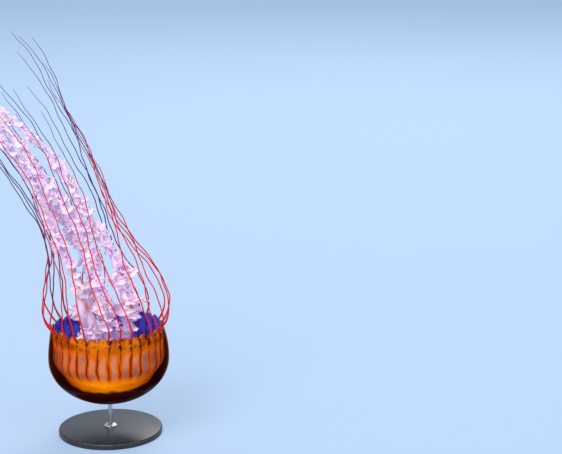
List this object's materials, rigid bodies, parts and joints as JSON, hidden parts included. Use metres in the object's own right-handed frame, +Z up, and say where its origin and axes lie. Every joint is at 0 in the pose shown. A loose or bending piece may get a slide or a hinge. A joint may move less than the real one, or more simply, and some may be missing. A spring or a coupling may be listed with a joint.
{
  "type": "sea nettle jellyfish model",
  "caption": "Life-size sea nettle jellyfish, bell down, its frilled arms and long thin tentacles trailing up and to one side, on a round display stand.",
  "frame": {"origin": "middle of the stand's underside, straight below the apex of the bell", "axes": "+Z up out of the bell's mouth, -Y the front, and the arms and tentacles trail up towards -X"},
  "size_m": [0.4754, 0.2603, 0.8119],
  "materials": {
    "bell": "wet, translucent amber jelly with darker rays",
    "mouth": "wet, translucent pale mauve",
    "oral_arm": "soft, lacy, pale pink",
    "tentacle": "wet red, darker towards the tip",
    "stand_base": "satin black",
    "stand_rod": "brushed"
  },
  "bodies": {
    "root": {"stand_base": "stand_base", "stand_rod": "stand_rod", "bell": "bell", "mouth": "mouth", "arm_left_base": "oral_arm", "arm_left_tip": "oral_arm", "arm_front_base": "oral_arm", "arm_front_tip": "oral_arm", "arm_right_base": "oral_arm", "arm_right_tip": "oral_arm", "arm_back_base": "oral_arm", "arm_back_tip": "oral_arm", "tentacle_01_base": "tentacle", "tentacle_01_tip": "tentacle", "tentacle_02_base": "tentacle", "tentacle_02_tip": "tentacle", "tentacle_03_base": "tentacle", "tentacle_03_tip": "tentacle", "tentacle_04_base": "tentacle", "tentacle_04_tip": "tentacle", "tentacle_05_base": "tentacle", "tentacle_05_tip": "tentacle", "tentacle_06_base": "tentacle", "tentacle_06_tip": "tentacle", "tentacle_07_base": "tentacle", "tentacle_07_tip": "tentacle", "tentacle_08_base": "tentacle", "tentacle_08_tip": "tentacle", "tentacle_09_base": "tentacle", "tentacle_09_tip": "tentacle", "tentacle_10_base": "tentacle", "tentacle_10_tip": "tentacle", "tentacle_11_base": "tentacle", "tentacle_11_tip": "tentacle", "tentacle_12_base": "tentacle", "tentacle_12_tip": "tentacle", "tentacle_13_base": "tentacle", "tentacle_13_tip": "tentacle", "tentacle_14_base": "tentacle", "tentacle_14_tip": "tentacle", "tentacle_15_base": "tentacle", "tentacle_15_tip": "tentacle", "tentacle_16_base": "tentacle", "tentacle_16_tip": "tentacle", "tentacle_17_base": "tentacle", "tentacle_17_tip": "tentacle", "tentacle_18_base": "tentacle", "tentacle_18_tip": "tentacle", "tentacle_19_base": "tentacle", "tentacle_19_tip": "tentacle", "tentacle_20_base": "tentacle", "tentacle_20_tip": "tentacle", "tentacle_21_base": "tentacle", "tentacle_21_tip": "tentacle", "tentacle_22_base": "tentacle", "tentacle_22_tip": "tentacle", "tentacle_23_base": "tentacle", "tentacle_23_tip": "tentacle", "tentacle_24_base": "tentacle", "tentacle_24_tip": "tentacle"}
  },
  "joints": []
}
